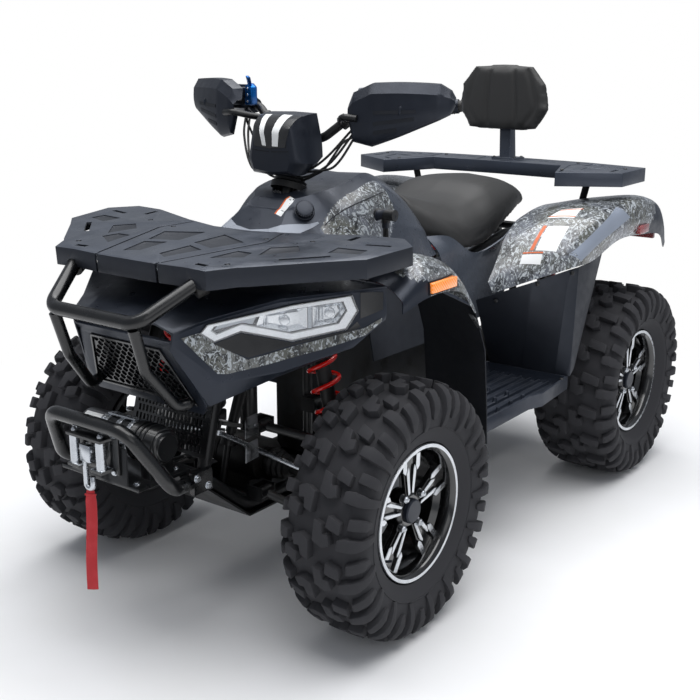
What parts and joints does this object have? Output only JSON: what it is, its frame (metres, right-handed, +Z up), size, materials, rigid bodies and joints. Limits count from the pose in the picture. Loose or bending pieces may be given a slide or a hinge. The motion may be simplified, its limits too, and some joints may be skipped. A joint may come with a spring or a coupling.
{
  "type": "utility quad bike",
  "caption": "Four-wheeled utility quad bike with steered front wheels, front and rear racks, winch, brush guard and backrest.",
  "frame": {"origin": "on the ground, midway along, across and under the vehicle", "axes": "+X to the rider's left, +Y to the rear, +Z up"},
  "size_m": [1.095, 2.149, 1.299],
  "materials": {
    "tyre_rubber": "matte black rubber with moulded lugs",
    "rim_alloy": "gloss black with machined faces",
    "frame_black": "satin black powder coat",
    "cast_metal": "bare casting",
    "dark_plastic": "grained dark grey moulding",
    "black_plastic": "grained black moulding",
    "camo_plastic": "green, tan and grey patches",
    "seat_vinyl": "grained black vinyl",
    "spring_red": "gloss red",
    "silver_metal": "satin silver",
    "lamp_clear": "clear lens over a reflector",
    "lens_colour": "amber and red lenses",
    "strap_red": "woven webbing",
    "cable_rubber": "matte black sheath"
  },
  "bodies": {
    "root": {"backrest_pad": "seat_vinyl", "brush_guard": "frame_black", "driveline": "black_plastic", "engine": "cast_metal", "footwells": "dark_plastic", "frame": "frame_black", "front_fenders": "camo_plastic", "front_rack": "dark_plastic", "gear_lever": "black_plastic", "grille": "black_plastic", "headlamps": "lamp_clear", "hook_strap": "strap_red", "leg_guards": "dark_plastic", "marker_lamps": "lens_colour", "mud_flaps": "black_plastic", "muffler": "silver_metal", "nose": "dark_plastic", "rear_fenders": "camo_plastic", "rear_rack": "dark_plastic", "seat": "seat_vinyl", "shock_dampers": "silver_metal", "shock_springs": "spring_red", "side_panels": "dark_plastic", "skid_plate": "frame_black", "suspension_arms": "frame_black", "tank_cover": "dark_plastic", "winch": "silver_metal", "winch_hook": "silver_metal"},
    "steering": {"handlebar": "frame_black", "hand_controls": "black_plastic", "instrument_pod": "black_plastic", "hand_guards": "black_plastic", "control_cables": "cable_rubber"},
    "knuckle_left": {"knuckle_left": "cast_metal"},
    "knuckle_right": {"knuckle_right": "cast_metal"},
    "tie_rod_left": {"tie_rod_left": "silver_metal"},
    "tie_rod_right": {"tie_rod_right": "silver_metal"},
    "wheel_front_left": {"rim_front_left": "rim_alloy", "tyre_front_left": "tyre_rubber"},
    "wheel_front_right": {"rim_front_right": "rim_alloy", "tyre_front_right": "tyre_rubber"},
    "wheel_rear_left": {"rim_rear_left": "rim_alloy", "tyre_rear_left": "tyre_rubber"},
    "wheel_rear_right": {"rim_rear_right": "rim_alloy", "tyre_rear_right": "tyre_rubber"}
  },
  "joints": [
    {"name": "steering", "type": "hinge", "parent": "root", "child": "steering", "pos_m": [0, -0.49969, 0.7], "axis": [0, 0.3746, 0.9272], "range_deg": [-40, 40]},
    {"name": "knuckle_left", "type": "hinge", "parent": "root", "child": "knuckle_left", "pos_m": [0.385, -0.55, 0.308], "axis": [0, 0, 1], "range_deg": [-32.5, 32.5]},
    {"name": "knuckle_right", "type": "hinge", "parent": "root", "child": "knuckle_right", "pos_m": [-0.385, -0.55, 0.308], "axis": [0, 0, 1], "range_deg": [-32.5, 32.5]},
    {"name": "tie_rod_left", "type": "hinge", "parent": "knuckle_left", "child": "tie_rod_left", "pos_m": [0.405, -0.638, 0.359], "axis": [0, 0, 1], "range_deg": [-33, 33]},
    {"name": "tie_rod_right", "type": "hinge", "parent": "knuckle_right", "child": "tie_rod_right", "pos_m": [-0.405, -0.638, 0.359], "axis": [0, 0, 1], "range_deg": [-33, 33]},
    {"name": "wheel_front_left", "type": "hinge", "parent": "knuckle_left", "child": "wheel_front_left", "pos_m": [0.445, -0.55, 0.308], "axis": [1, 0, 0], "continuous": true},
    {"name": "wheel_front_right", "type": "hinge", "parent": "knuckle_right", "child": "wheel_front_right", "pos_m": [-0.445, -0.55, 0.308], "axis": [1, 0, 0], "continuous": true},
    {"name": "wheel_rear_left", "type": "hinge", "parent": "root", "child": "wheel_rear_left", "pos_m": [0.419, 0.74, 0.308], "axis": [1, 0, 0], "continuous": true},
    {"name": "wheel_rear_right", "type": "hinge", "parent": "root", "child": "wheel_rear_right", "pos_m": [-0.419, 0.74, 0.308], "axis": [1, 0, 0], "continuous": true}
  ],
  "couplings": [
    {"joint": "knuckle_left", "follows": "steering", "ratio": 0.8},
    {"joint": "knuckle_right", "follows": "steering", "ratio": 0.8},
    {"joint": "tie_rod_left", "follows": "steering", "ratio": -0.809},
    {"joint": "tie_rod_right", "follows": "steering", "ratio": -0.809}
  ]
}
